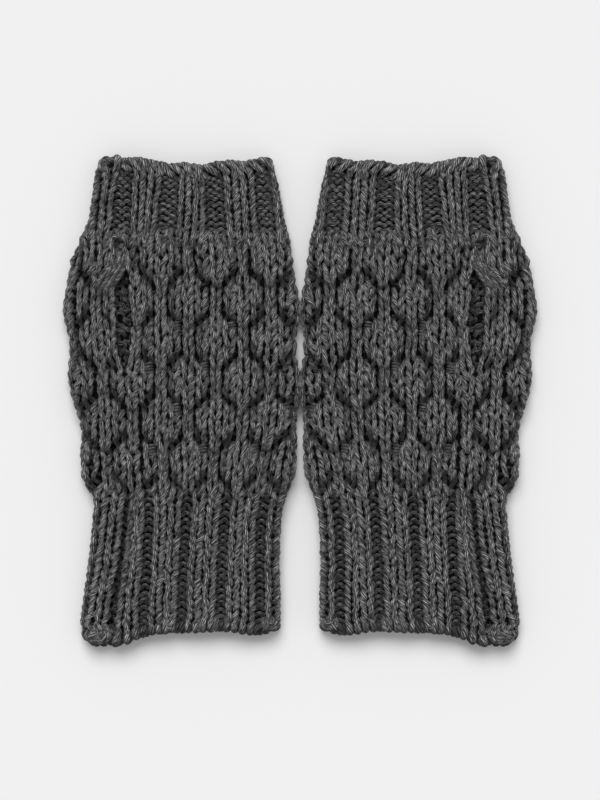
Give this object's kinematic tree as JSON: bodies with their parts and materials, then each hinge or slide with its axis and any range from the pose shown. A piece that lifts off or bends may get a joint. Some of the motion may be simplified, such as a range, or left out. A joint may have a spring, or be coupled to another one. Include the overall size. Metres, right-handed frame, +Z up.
{
  "type": "pair of knitted arm warmers",
  "caption": "Flat-laid pair of fingerless knitted tubes for hands and wrists, bubble stitch between two ribs, each with a thumb slit.",
  "frame": {"origin": "on the surface the pair lies on, midway between the two warmers and halfway along their length", "axes": "+X from the left warmer to the right one, +Y from wrist edge to finger edge, +Z up from the surface"},
  "size_m": [0.192, 0.2012, 0.0116],
  "materials": {
    "yarn": "charcoal heather plied wool-blend yarn, matt, slightly fuzzy"
  },
  "bodies": {
    "root": {"left_wrist_rib": "yarn", "left_hand_top": "yarn", "left_hand_under": "yarn", "left_finger_rib": "yarn", "right_wrist_rib": "yarn", "right_hand_top": "yarn", "right_hand_under": "yarn", "right_finger_rib": "yarn"}
  },
  "joints": []
}
